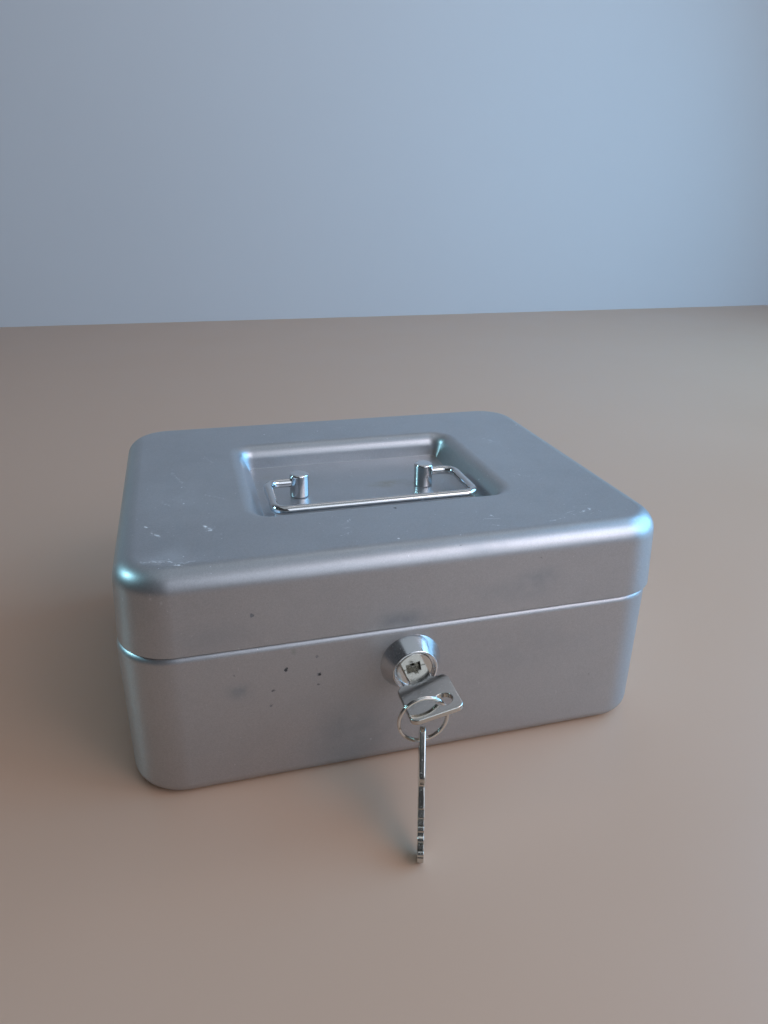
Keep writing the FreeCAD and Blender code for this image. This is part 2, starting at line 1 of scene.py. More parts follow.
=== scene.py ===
import math

import bpy
from mathutils import Matrix, Vector
from mathutils.geometry import tessellate_polygon


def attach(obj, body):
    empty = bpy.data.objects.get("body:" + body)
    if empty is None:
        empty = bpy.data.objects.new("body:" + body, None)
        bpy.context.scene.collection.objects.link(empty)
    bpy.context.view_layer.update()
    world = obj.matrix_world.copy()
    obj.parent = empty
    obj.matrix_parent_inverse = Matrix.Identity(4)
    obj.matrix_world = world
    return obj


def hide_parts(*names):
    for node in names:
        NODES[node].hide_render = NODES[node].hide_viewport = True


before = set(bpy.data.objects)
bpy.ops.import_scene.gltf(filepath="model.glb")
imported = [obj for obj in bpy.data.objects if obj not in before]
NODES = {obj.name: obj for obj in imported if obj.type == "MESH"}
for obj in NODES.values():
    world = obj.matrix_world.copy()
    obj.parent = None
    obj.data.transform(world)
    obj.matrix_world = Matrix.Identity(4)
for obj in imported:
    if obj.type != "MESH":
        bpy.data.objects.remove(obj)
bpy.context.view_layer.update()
MM = 0.001
scene = bpy.context.scene


# ------------------------------------------------------------------ node tools
class Graph:
    """Small helper that builds a material's node tree."""

    def __init__(self, name):
        self.mat = bpy.data.materials.new(name)
        self.mat.use_nodes = True
        self.t = self.mat.node_tree
        self.t.nodes.clear()
        self.out = self.t.nodes.new("ShaderNodeOutputMaterial")
        self.bsdf = self.t.nodes.new("ShaderNodeBsdfPrincipled")
        self.t.links.new(self.bsdf.outputs[0], self.out.inputs[0])
        tc = self.t.nodes.new("ShaderNodeTexCoord")
        self.pos = tc.outputs["Object"]
        self.nrm = tc.outputs["Normal"]

    def put(self, socket, value):
        if isinstance(value, bpy.types.NodeSocket):
            self.t.links.new(value, socket)
        else:
            socket.default_value = value

    def math(self, op, a, b=None, c=None, clamp=False):
        n = self.t.nodes.new("ShaderNodeMath")
        n.operation = op
        n.use_clamp = clamp
        for i, v in enumerate((a, b, c)):
            if v is not None:
                self.put(n.inputs[i], v)
        return n.outputs[0]

    def vmath(self, op, a, b=None):
        n = self.t.nodes.new("ShaderNodeVectorMath")
        n.operation = op
        self.put(n.inputs[0], a)
        if b is not None:
            self.put(n.inputs[1], b)
        return n.outputs["Value"] if op in ("LENGTH", "DISTANCE", "DOT_PRODUCT") else n.outputs[0]

    def sep(self, v):
        n = self.t.nodes.new("ShaderNodeSeparateXYZ")
        self.put(n.inputs[0], v)
        return n.outputs

    def turn(self, v, axis, angle):
        n = self.t.nodes.new("ShaderNodeVectorRotate")
        n.rotation_type = "AXIS_ANGLE"
        self.put(n.inputs["Vector"], v)
        n.inputs["Axis"].default_value = axis
        n.inputs["Angle"].default_value = angle
        return n.outputs[0]

    def noise(self, v, scale, detail=2.0, rough=0.5, distort=0.0, colour=False):
        n = self.t.nodes.new("ShaderNodeTexNoise")
        n.noise_dimensions = "3D"
        self.put(n.inputs["Vector"], v)
        n.inputs["Scale"].default_value = scale
        n.inputs["Detail"].default_value = detail
        n.inputs["Roughness"].default_value = rough
        n.inputs["Distortion"].default_value = distort
        return n.outputs["Color" if colour else "Fac"]

    def cells(self, v, scale, random=1.0):
        n = self.t.nodes.new("ShaderNodeTexVoronoi")
        n.feature = "F1"
        self.put(n.inputs["Vector"], v)
        n.inputs["Scale"].default_value = scale
        n.inputs["Randomness"].default_value = random
        return n.outputs["Distance"], n.outputs["Color"]

    def ramp(self, v, lo, hi, a=0.0, b=1.0, smooth=True):
        n = self.t.nodes.new("ShaderNodeMapRange")
        n.interpolation_type = "SMOOTHSTEP" if smooth else "LINEAR"
        n.clamp = True
        self.put(n.inputs["Value"], v)
        for k, x in (("From Min", lo), ("From Max", hi), ("To Min", a), ("To Max", b)):
            self.put(n.inputs[k], x)
        return n.outputs[0]

    def mix(self, fac, a, b, kind="MIX"):
        n = self.t.nodes.new("ShaderNodeMix")
        n.data_type = "RGBA"
        n.blend_type = kind
        n.clamp_factor = True
        self.put(n.inputs[0], fac)
        self.put(n.inputs[6], a)
        self.put(n.inputs[7], b)
        return n.outputs[2]

    def bump(self, height, strength, distance, normal=None):
        n = self.t.nodes.new("ShaderNodeBump")
        n.inputs["Strength"].default_value = strength
        n.inputs["Distance"].default_value = distance
        self.put(n.inputs["Height"], height)
        if normal is not None:
            self.put(n.inputs["Normal"], normal)
        return n.outputs[0]

    def blob(self, centre, size):
        """1 at centre, falling to 0 on an ellipsoid of half axes size (mm)."""
        d = self.vmath("SUBTRACT", self.pos, tuple(c * MM for c in centre))
        d = self.vmath("MULTIPLY", d, tuple(1.0 / (s * MM) for s in size))
        return self.ramp(self.vmath("LENGTH", d), 0.0, 1.0, 1.0, 0.0)

    def total(self, values, op="ADD"):
        s = values[0]
        for v in values[1:]:
            s = self.math(op, s, v)
        return s

    def set(self, **kw):
        for k, v in kw.items():
            self.put(self.bsdf.inputs[k.replace("_", " ")], v)


def rgb(r, g, b):
    return (r, g, b, 1.0)


# -------------------------------------------------------------------- materials
def silver_paint(name, wear=(), specks=(), strokes=(), chips=(), smears_and_shade=(), stains=(), dust=True):
    """Satin silver metallic paint: fine flake, orange peel, dust on upward
    faces, hairline scratches, light specks and scuffs, chips, hand marks and
    patches of painted shade."""
    g = Graph(name)
    p = g.pos
    nz = g.sep(g.nrm)[2]
    up = g.ramp(nz, 0.55, 0.97)

    broad = g.noise(p, 14.0, 3.0, 0.55)
    mottled = g.noise(p, 75.0, 5.0, 0.6)
    flake_d, flake_c = g.cells(p, 3600.0)
    flake = g.sep(flake_c)[0]

    base = g.mix(broad, rgb(0.408, 0.416, 0.438), rgb(0.464, 0.472, 0.491))
    base = g.mix(g.math("MULTIPLY", flake, 0.30), base, rgb(0.66, 0.67, 0.69))
    base = g.mix(g.ramp(mottled, 0.42, 0.75, 0.0, 0.18), base, rgb(0.375, 0.385, 0.405))

    # worn places carry hairlines and specks
    light_wear = g.math("MULTIPLY", g.ramp(g.noise(p, 22.0, 4.0, 0.6), 0.45, 0.75), 0.28)
    if wear:
        place = g.total([g.math("MULTIPLY", g.blob(c, s), w) for c, s, w in wear], "MAXIMUM")
        worn = g.math("MAXIMUM", place, light_wear)
    else:
        worn = light_wear

    lines = []
    for angle, seed, along, across in ((0.25, 3.1, 120.0, 2300.0), (1.05, 7.7, 170.0, 2600.0),
                                       (-0.45, 12.4, 150.0, 2100.0)):
        v = g.turn(p, (0.0, 0.0, 1.0), angle)
        v = g.vmath("ADD", v, (seed, seed * 0.37, seed * 0.71))
        v = g.vmath("ADD", v, g.vmath("MULTIPLY", g.noise(p, 120.0, 1.0, colour=True), (0.0012, 0.0012, 0.0)))
        v = g.vmath("MULTIPLY", v, (along, across, 300.0))
        lines.append(g.noise(v, 1.0, 1.0, 0.4))
    line = g.total(lines, "MAXIMUM")
    cut = g.ramp(worn, 0.0, 1.0, 0.82, 0.655, smooth=False)
    scratch = g.ramp(g.math("SUBTRACT", line, cut), 0.0, 0.05)

    sd, sc = g.cells(p, 230.0)
    r0 = g.sep(sc)
    keep = g.math("GREATER_THAN", r0[0], g.ramp(worn, 0.0, 1.0, 0.975, 0.45, smooth=False))
    size = g.math("MULTIPLY", g.math("POWER", r0[1], 3.0), 0.12)
    speck = g.math("MULTIPLY", keep, g.ramp(g.math("SUBTRACT", sd, size), 0.0, 0.03, 1.0, 0.0))
    fd, fc = g.cells(p, 640.0)
    f0 = g.sep(fc)
    fkeep = g.math("GREATER_THAN", f0[0], g.ramp(worn, 0.0, 1.0, 0.955, 0.62, smooth=False))
    fine = g.math("MULTIPLY", fkeep, g.ramp(fd, 0.07, 0.16, 0.8, 0.0))
    marks = g.math("MAXIMUM", g.math("MULTIPLY", scratch, 0.60), g.math("MAXIMUM", speck, fine))
    marks = g.math("MULTIPLY", marks, g.ramp(nz, -0.2, 0.6, 0.22, 1.0))

    # scuffs with a known place: bright nicks and ragged strokes
    if specks or strokes:
        wob = g.vmath("SUBTRACT", g.noise(p, 520.0, 3.0, 0.6, colour=True), (0.5, 0.5, 0.5))
        q = g.vmath("ADD", p, g.vmath("MULTIPLY", wob, (0.0034, 0.0034, 0.0034)))
        hits = []
        for c, r, s in specks:
            d = g.vmath("DISTANCE", q, tuple(k * MM for k in c))
            hits.append(g.ramp(d, r * 0.45 * MM, r * MM, s, 0.0))
        broken = g.ramp(g.noise(p, 1500.0, 2.0, 0.5), 0.38, 0.60)
        for a, c, w, s in strokes:
            a = Vector(a) * MM
            ab = Vector(c) * MM - a
            d = g.vmath("SUBTRACT", q, tuple(a))
            t = g.math("ADD", g.vmath("DOT_PRODUCT", d, tuple(ab / ab.length_squared)), 0.0, clamp=True)
            e = g.vmath("MULTIPLY", t, tuple(ab))
            h = g.ramp(g.vmath("DISTANCE", d, e), w * 0.35 * MM, w * MM, s, 0.0)
            hits.append(g.math("MULTIPLY", h, broken))
        marks = g.math("MAXIMUM", marks, g.total(hits, "MAXIMUM"))

    colour = g.mix(marks, base, rgb(0.88, 0.89, 0.91))

    # thin dust film, only where it can settle
    film = g.math("MULTIPLY", up, g.ramp(g.noise(p, 48.0, 6.0, 0.65), 0.30, 0.8, 0.0, 0.10 if dust else 0.03))
    colour = g.mix(film, colour, rgb(0.62, 0.63, 0.64))

    rough = g.math("ADD", g.math("MULTIPLY", broad, 0.05), PAINT_ROUGH)
    rough = g.math("ADD", rough, g.math("MULTIPLY", mottled, 0.06))
    rough = g.math("ADD", rough, g.math("MULTIPLY", film, 0.35))
    metal = g.math("SUBTRACT", 0.94, g.math("MULTIPLY", film, 0.8))

    # soft grey smears left by hands, and faint coloured marks; on the base one grey patch is a painted shadow of the
    # hanging key, not a smear
    patch = g.ramp(g.noise(p, 95.0, 4.0, 0.6), 0.3, 0.65)
    for c, s, w in smears_and_shade:
        m = g.math("MULTIPLY", g.math("MULTIPLY", g.blob(c, s), patch), w)
        colour = g.mix(m, colour, rgb(0.30, 0.32, 0.35))
        rough = g.math("ADD", rough, g.math("MULTIPLY", m, 0.16))
    for c, s, w, tint in stains:
        m = g.math("MULTIPLY", g.math("MULTIPLY", g.blob(c, s), patch), w)
        colour = g.mix(m, colour, rgb(*tint))
        metal = g.math("SUBTRACT", metal, g.math("MULTIPLY", m, 0.6))

    # ragged chips down to dark primer
    chip = None
    if chips:
        wob = g.vmath("SUBTRACT", g.noise(p, 800.0, 3.0, 0.65, colour=True), (0.5, 0.5, 0.5))
        q = g.vmath("ADD", p, g.vmath("MULTIPLY", wob, (0.0022, 0.0022, 0.0022)))
        hits = []
        for c, s, w in chips:
            d = g.vmath("SUBTRACT", q, tuple(k * MM for k in c))
            d = g.vmath("LENGTH", g.vmath("MULTIPLY", d, tuple(1.0 / (k * MM) for k in s)))
            hits.append(g.ramp(d, 0.55, 1.0, w, 0.0))
        chip = g.total(hits, "MAXIMUM")
        colour = g.mix(chip, colour, rgb(0.016, 0.014, 0.014))
        metal = g.math("MULTIPLY", metal, g.math("SUBTRACT", 1.0, chip))
        rough = g.math("ADD", rough, g.math("MULTIPLY", chip, 0.3))

    metal = g.math("MULTIPLY", metal, g.math("SUBTRACT", 1.0, g.math("MULTIPLY", marks, 0.85)))
    rough = g.math("ADD", rough, g.math("MULTIPLY", marks, 0.25))

    peel = g.noise(p, 850.0, 2.0, 0.5)
    height = g.math("ADD", g.math("MULTIPLY", peel, 0.000010), g.math("MULTIPLY", flake, 0.0000035))
    height = g.math("SUBTRACT", height, g.math("MULTIPLY", scratch, 0.00002))
    if chip is not None:
        height = g.math("SUBTRACT", height, g.math("MULTIPLY", chip, 0.00008))
    normal = g.bump(height, 0.55, 1.0)

    g.set(Base_Color=colour, Roughness=rough, Metallic=metal, Normal=normal)
    g.bsdf.inputs["Coat Weight"].default_value = 0.30
    g.bsdf.inputs["Coat Roughness"].default_value = 0.13
    g.bsdf.inputs["Coat IOR"].default_value = 1.48
    return g.mat


def plated(name, dark, light, rough, haze, scratch_amount=0.5, tarnish=None):
    """Bright plating: faint clouding, hairlines in several directions and a
    few dull spots."""
    g = Graph(name)
    p = g.pos
    cloud = g.noise(p, 160.0, 4.0, 0.6)
    spots_d, spots_c = g.cells(p, 900.0)
    spot = g.math("MULTIPLY", g.math("GREATER_THAN", g.sep(spots_c)[0], 0.90), g.ramp(spots_d, 0.08, 0.22, 1.0, 0.0))
    lines = []
    for axis, angle, seed in (((0.0, 0.0, 1.0), 0.4, 2.0), ((1.0, 0.0, 0.0), 0.9, 5.0), ((0.0, 1.0, 0.0), -0.7, 9.0)):
        v = g.vmath("ADD", g.turn(p, axis, angle), (seed, seed * 0.6, seed * 0.3))
        v = g.vmath("MULTIPLY", v, (260.0, 5200.0, 2400.0))
        lines.append(g.noise(v, 1.0, 1.0, 0.4))
    hair = g.ramp(g.total(lines, "MAXIMUM"), 0.70, 0.80)
    colour = g.mix(cloud, rgb(*dark), rgb(*light))
    if tarnish:
        t = g.ramp(g.noise(p, 320.0, 5.0, 0.65), 0.56, 0.76, 0.0, 0.55)
        colour = g.mix(t, colour, rgb(*tarnish))
    colour = g.mix(g.math("MULTIPLY", spot, 0.5), colour, rgb(dark[0] * 0.55, dark[1] * 0.53, dark[2] * 0.5))
    r = g.math("ADD", g.ramp(cloud, 0.3, 0.75, rough, rough + haze), g.math("MULTIPLY", hair, 0.16 * scratch_amount))
    r = g.math("ADD", r, g.math("MULTIPLY", spot, 0.2))
    h = g.math("MULTIPLY", hair, -0.000006 * scratch_amount)
    h = g.math("ADD", h, g.math("MULTIPLY", g.noise(p, 420.0, 2.0), 0.000006))
    g.set(Base_Color=colour, Roughness=r, Normal=g.bump(h, 0.6, 1.0))
    g.bsdf.inputs["Metallic"].default_value = 1.0
    return g.mat


def zinc(name):
    """Zinc plate: cool grey with a cloudy, slightly crystalline bloom."""
    g = Graph(name)
    p = g.pos
    d, c = g.cells(p, 520.0)
    bloom = g.sep(c)[1]
    cloud = g.noise(p, 210.0, 5.0, 0.62)
    colour = g.mix(bloom, rgb(0.50, 0.505, 0.50), rgb(0.60, 0.605, 0.61))
    colour = g.mix(g.ramp(cloud, 0.52, 0.78, 0.0, 0.45), colour, rgb(0.40, 0.39, 0.36))
    r = g.ramp(cloud, 0.25, 0.8, 0.26, 0.46)
    h = g.math("ADD", g.math("MULTIPLY", bloom, 0.000004), g.math("MULTIPLY", cloud, 0.00002))
    g.set(Base_Color=colour, Roughness=r, Normal=g.bump(h, 0.5, 1.0))
    g.bsdf.inputs["Metallic"].default_value = 1.0
    return g.mat


def brass(name):
    g = Graph(name)
    p = g.pos
    cloud = g.noise(p, 420.0, 4.0, 0.6)
    v = g.vmath("MULTIPLY", p, (400.0, 6000.0, 400.0))
    grain = g.noise(v, 1.0, 2.0)
    colour = g.mix(cloud, rgb(0.72, 0.50, 0.20), rgb(0.80, 0.62, 0.30))
    r = g.ramp(grain, 0.3, 0.7, 0.22, 0.38)
    g.set(Base_Color=colour, Roughness=r, Normal=g.bump(grain, 0.25, 0.00003))
    g.bsdf.inputs["Metallic"].default_value = 1.0
    return g.mat


def tray_plastic(name):
    """Moulded matt black plastic: spark-eroded grain, rubbed floors, dust."""
    g = Graph(name)
    p = g.pos
    nz = g.sep(g.nrm)[2]
    grain = g.noise(p, 1700.0, 3.0, 0.6)
    pits, _ = g.cells(p, 1300.0)
    broad = g.noise(p, 30.0, 4.0, 0.6)
    colour = g.mix(broad, rgb(0.020, 0.021, 0.022), rgb(0.034, 0.034, 0.036))
    rub = g.math("MULTIPLY", g.ramp(nz, 0.6, 0.98), g.ramp(g.noise(p, 85.0, 6.0, 0.7), 0.45, 0.8, 0.0, 0.35))
    colour = g.mix(rub, colour, rgb(0.085, 0.083, 0.080))
    v = g.vmath("MULTIPLY", g.turn(p, (0.0, 0.0, 1.0), 0.35), (140.0, 2200.0, 300.0))
    hair = g.ramp(g.noise(v, 1.0, 1.0), 0.70, 0.80)
    colour = g.mix(g.math("MULTIPLY", hair, 0.25), colour, rgb(0.16, 0.16, 0.16))
    r = g.math("ADD", g.ramp(broad, 0.3, 0.7, 0.44, 0.56), g.math("MULTIPLY", rub, 0.2))
    h = g.math("ADD", g.math("MULTIPLY", grain, 0.00002), g.math("MULTIPLY", pits, 0.00002))
    g.set(Base_Color=colour, Roughness=r, Normal=g.bump(h, 0.7, 1.0))
    return g.mat


TOP = 86.5
FRONT = -79.3
LID_WEAR = [
    ((-80, -69, TOP), (20, 8, 9), 1.0),
    ((-85, -45, TOP), (9, 10, 6), 0.75),
    ((-67, -46, TOP), (8, 7, 6), 0.8),
    ((-72, -6, TOP), (16, 30, 6), 0.50),
    ((-64, 26, TOP), (11, 13, 6), 0.60),
    ((-19, -56, TOP), (9, 11, 6), 0.75),
    ((64, -65, TOP), (23, 9, 8), 0.95),
    ((33, -62, TOP), (9, 9, 6), 0.65),
    ((62, -23, TOP), (16, 20, 6), 0.60),
    ((68, 22, TOP), (16, 22, 6), 0.60),
    ((0, 58, TOP), (62, 13, 6), 0.38),
    ((42, -78, 74), (9, 6, 7), 0.45),
    ((0, 20, 76.5), (40, 20, 5), 0.45),
]


def on_top(*rows):
    return [((x, y, TOP), r, s) for x, y, r, s in rows]


def across_top(*rows):
    return [((x0, y0, TOP), (x1, y1, TOP), w, s) for x0, y0, x1, y1, w, s in rows]


LID_SPECKS = on_top(
    (-87.1, -40.6, 0.62, 0.95), (-83.5, -48.3, 0.85, 0.75), (-67.6, -44.5, 0.95, 1.0), (-65.8, -48.2, 0.85, 1.0),
    (-76.0, -75.5, 0.95, 0.95), (-78.7, -42.6, 0.45, 0.7), (-91.9, -46.2, 0.5, 0.6), (-63.5, -73.0, 0.55, 0.6),
    (-60.8, -76.4, 0.6, 0.7), (-64.8, -69.9, 0.45, 0.6), (33.8, -59.3, 0.75, 0.75), (54.4, -68.5, 0.7, 0.7),
    (69.1, -63.5, 0.7, 0.8), (72.1, -62.4, 0.75, 0.85), (85.4, -66.2, 0.55, 0.6), (32.8, -68.2, 0.6, 0.55),
    (53.4, -52.4, 0.5, 0.55), (64.7, -56.1, 0.5, 0.55), (16.7, -72.5, 0.5, 0.5), (62.0, -23.5, 0.8, 0.6),
    (68.0, 23.0, 0.8, 0.6), (-22.5, -47.5, 0.4, 0.55))
LID_STROKES = across_top(
    (-88.6, -67.2, -84.0, -68.6, 0.55, 0.75), (-83.6, -68.9, -79.2, -68.6, 0.65, 0.9),
    (-79.4, -69.4, -77.2, -72.2, 0.55, 0.85), (-76.4, -71.2, -70.4, -69.9, 0.5, 0.6),
    (-19.9, -53.6, -17.4, -51.4, 0.42, 0.85), (-17.6, -51.0, -15.0, -48.8, 0.38, 0.6),
    (-22.8, -63.6, -19.5, -61.4, 0.45, 0.8), (-85.6, -46.0, -82.8, -49.2, 0.5, 0.7),
    (-68.2, -43.8, -65.2, -48.6, 0.35, 0.7), (-78.4, 12.6, -74.4, -0.6, 0.6, 0.42),
    (-66.5, -15.2, -59.2, -20.6, 0.5, 0.40), (-82.0, -19.0, -79.0, -23.5, 0.6, 0.40),
    (-64.5, 29.0, -61.0, 21.0, 0.6, 0.35), (52.8, -69.0, 57.4, -67.9, 0.4, 0.65),
    (66.8, -64.6, 72.6, -62.2, 0.4, 0.55), (60.0, -20.5, 64.5, -26.0, 0.5, 0.38),
    (66.0, 27.0, 70.5, 18.0, 0.55, 0.38), (30.5, -67.0, 34.5, -69.2, 0.4, 0.5))
LID_CHIPS = [((1.5, -44.7, TOP), (0.75, 0.75, 1.2), 1.0), ((-31.9, -77.4, 84.6), (0.8, 0.8, 0.8), 0.55),
             ((-56.2, -79.2, 69.4), (0.85, 1.2, 0.75), 0.60), ((15.7, -76.6, 84.9), (1.1, 0.7, 0.7), 0.40),
             ((45.0, -79.0, 77.5), (0.45, 0.8, 0.45), 0.35)]
LID_SMEARS = [((-6, -79.5, 60.6), (26, 6, 4.5), 0.75), ((45, -79, 70.5), (13, 6, 5), 0.5),
              ((-70, -79, 63), (20, 6, 8), 0.3), ((38, -79, 66), (26, 6, 7), 0.3),
              ((24, -78, 83), (13, 5, 4), 0.4)]
LID_STAINS = [((14.5, 4.0, 76.5), (15, 6, 3), 0.95, (0.27, 0.23, 0.15)),
              ((46.0, 36.0, 77.5), (6, 9, 4), 0.9, (0.36, 0.29, 0.20)),
              ((-38.0, 24.0, 76.5), (7, 9, 3), 0.35, (0.36, 0.33, 0.28)),
              ((-76.0, -12.0, TOP), (16, 34, 6), 0.20, (0.60, 0.62, 0.65)),
              ((-80.0, -66.0, TOP), (16, 9, 6), 0.26, (0.64, 0.66, 0.69)),
              ((64.0, 10.0, TOP), (15, 34, 6), 0.14, (0.60, 0.62, 0.65))]
BASE_WEAR = [((-30, FRONT, 20), (40, 4, 16), 0.35), ((60, FRONT, 12), (30, 4, 10), 0.3)]
BASE_CHIPS = [((-45.9, FRONT, 46.8), (0.75, 1.2, 0.95), 0.95), ((-34.7, FRONT, 42.8), (0.95, 1.2, 1.10), 1.0),
              ((-50.6, FRONT, 39.1), (0.85, 1.2, 0.80), 0.70), ((-51.6, FRONT, 33.0), (0.70, 1.2, 0.75), 0.45),
              ((-35.2, FRONT, 38.7), (0.55, 1.2, 0.65), 0.55), ((-35.4, FRONT, 50.3), (0.85, 1.2, 0.65), 0.42),
              ((-63.0, FRONT, 47.5), (0.45, 1.2, 0.45), 0.30), ((71.0, FRONT, 24.0), (0.45, 1.2, 0.45), 0.30)]
BASE_SPECKS = [((-16.5, FRONT, 11.0), 0.55, 0.5), ((-38.0, FRONT, 14.5), 0.45, 0.4), ((20.0, FRONT, 30.0), 0.4, 0.35)]
# the second entry, at (-20, FRONT, 17), is a painted shadow of the hanging key on the base front; the others are hand
# smears
BASE_SMEARS_AND_KEY_SHADOW = [((-61.5, FRONT, 41), (7, 5, 5), 0.70), ((-20, FRONT, 17), (30, 5, 16), 0.40),
               ((40, FRONT, 40), (40, 5, 14), 0.20)]
BASE_STAINS = [((-42.9, FRONT, 53.6), (1.6, 3, 2.2), 0.8, (0.17, 0.19, 0.15)),
               ((-61.5, FRONT, 41.5), (4, 3, 3), 0.55, (0.24, 0.27, 0.28))]

PAINT_ROUGH = 0.37
M_LID = silver_paint("lid_paint", LID_WEAR, LID_SPECKS, LID_STROKES, LID_CHIPS, LID_SMEARS, LID_STAINS)
M_BASE = silver_paint("base_paint", BASE_WEAR, BASE_SPECKS, (), BASE_CHIPS, BASE_SMEARS_AND_KEY_SHADOW, BASE_STAINS, dust=False)
M_LEAF = silver_paint("hinge_paint", [((-60, 82, 57), (22, 6, 6), 0.7), ((60, 82, 57), (22, 6, 6), 0.7)], dust=False)
M_CHROME = plated("chrome_plate", (0.60, 0.60, 0.605), (0.71, 0.71, 0.71), 0.055, 0.07, 0.5)
M_COLLAR = plated("collar_chrome", (0.66, 0.68, 0.70), (0.76, 0.78, 0.80), 0.17, 0.08, 0.5)
M_NICKEL = plated("key_nickel", (0.52, 0.50, 0.46), (0.66, 0.64, 0.59), 0.11, 0.10, 1.0, (0.38, 0.33, 0.26))
M_RING = plated("ring_nickel", (0.60, 0.58, 0.54), (0.72, 0.70, 0.66), 0.09, 0.08, 0.7, (0.42, 0.37, 0.30))
M_PLUG = plated("plug_nickel", (0.56, 0.55, 0.52), (0.68, 0.67, 0.63), 0.14, 0.12, 1.0, (0.36, 0.31, 0.24))
M_ZINC = zinc("zinc_plate")
M_BRASS = brass("wafer_brass")
M_TRAY = tray_plastic("tray_plastic")

PAINT_OF = {
    "base_shell": M_BASE, "lid_shell": M_LID,
    "hinge_leaf_base_left": M_LEAF, "hinge_leaf_base_right": M_LEAF,
    "hinge_leaf_lid_left": M_LEAF, "hinge_leaf_lid_right": M_LEAF,
    "handle_bail": M_CHROME, "handle_post_left": M_CHROME, "handle_post_right": M_CHROME,
    "lock_housing": M_COLLAR, "lock_plug": M_PLUG, "lock_key": M_NICKEL, "spare_key": M_NICKEL,
    "key_ring": M_RING, "lock_wafers": M_BRASS, "coin_tray": M_TRAY,
}
for name, ob in NODES.items():
    for slot in ob.material_slots:
        slot.material = PAINT_OF.get(name, M_ZINC)


# ----------------------------------------------------------------- mesh builders
def new_mesh(name, verts, faces, normals, mat):
    me = bpy.data.meshes.new(name)
    me.from_pydata([tuple(c * MM for c in v) for v in verts], [], faces)
    me.polygons.foreach_set("use_smooth", [True] * len(me.polygons))
    me.update()
    if normals:
        me.normals_split_custom_set_from_vertices([tuple(Vector(n).normalized()) for n in normals])
    me.materials.append(mat)
    ob = bpy.data.objects.new(name, me)
    scene.collection.objects.link(ob)
    return ob


def stations(n_side, n_corner):
    """Stations round a rounded rectangle, anticlockwise from the right side's
    front end: (fx, fy) scales the arc centre, (nx, ny) is the outward normal."""
    out = []
    for k in range(4):
        a0 = k * math.pi / 2
        n = (round(math.cos(a0)), round(math.sin(a0)))
        ends = ((1, -1), (1, 1), (-1, 1), (-1, -1))
        p, q = ends[k], ends[(k + 1) % 4]
        for i in range(n_side):
            t = i / n_side
            out.append((p[0] + (q[0] - p[0]) * t, p[1] + (q[1] - p[1]) * t, n[0], n[1]))
        for i in range(n_corner):
            a = a0 + (math.pi / 2) * i / n_corner
            out.append((q[0], q[1], math.cos(a), math.sin(a)))
    return out


def arc_pts(c, r, a0, a1, n, sign=1.0):
    """Section points on an arc with their normals (sign -1 for a hollow)."""
    pts = []
    for i in range(n + 1):
        a = math.radians(a0 + (a1 - a0) * i / n)
        pts.append((c[0] + r * math.cos(a), c[1] + r * math.sin(a), sign * math.cos(a), sign * math.sin(a)))
    return pts


def swept(name, section, mat, n_side=26, n_corner=22, cap_start=None, cap_end=None):
    """Sweeps section rows ((cx, cy), u, z, nu, nz) round the rectangle. The
    section is given for each outward direction."""
    st = stations(n_side, n_corner)
    verts, norms, faces = [], [], []
    rows = len(section(1.0, 0.0))
    for fx, fy, nx, ny in st:
        for (cx, cy), u, z, nu, nz in section(nx, ny):
            verts.append((fx * cx + nx * u, fy * cy + ny * u, z))
            norms.append((nx * nu, ny * nu, nz))
    m = len(st)
    for i in range(m):
        j = (i + 1) % m
        for k in range(rows - 1):
            faces.append((i * rows + k, j * rows + k, j * rows + k + 1, i * rows + k + 1))
    if cap_start:
        faces.append(tuple(i * rows for i in (range(m) if cap_start < 0 else reversed(range(m)))))
    if cap_end:
        faces.append(tuple(i * rows + rows - 1 for i in (range(m) if cap_end > 0 else reversed(range(m)))))
    ob = new_mesh(name, verts, faces, None, mat)
    return ob, norms


def fix_normals(ob, norms):
    """Turns faces to agree with the given vertex normals, then sets those."""
    me = ob.data
    flip = 0
    for p in me.polygons:
        want = Vector((0.0, 0.0, 0.0))
        for v in p.vertices:
            want += Vector(norms[v])
        if want.dot(p.normal) < 0:
            p.flip()
            flip += 1
    me.update()
    me.polygons.foreach_set("use_smooth", [True] * len(me.polygons))
    me.normals_split_custom_set_from_vertices([tuple(Vector(n).normalized()) for n in norms])
    return flip


# ------------------------------------------------------------------- box shells
CX, CY, R, T = 80.0, 60.0, 20.0, 1.0
SEAM, DRAFT, TOP_R = 57.4, math.radians(2.7), 8.0
cd, sd, td = math.cos(DRAFT), math.sin(DRAFT), math.tan(DRAFT)
da = math.degrees(DRAFT)
OUT, REC = (CX, CY), (42.3, 31.5)


def rows(path, pts):
    return [(path, u, z, nu, nz) for u, z, nu, nz in pts]


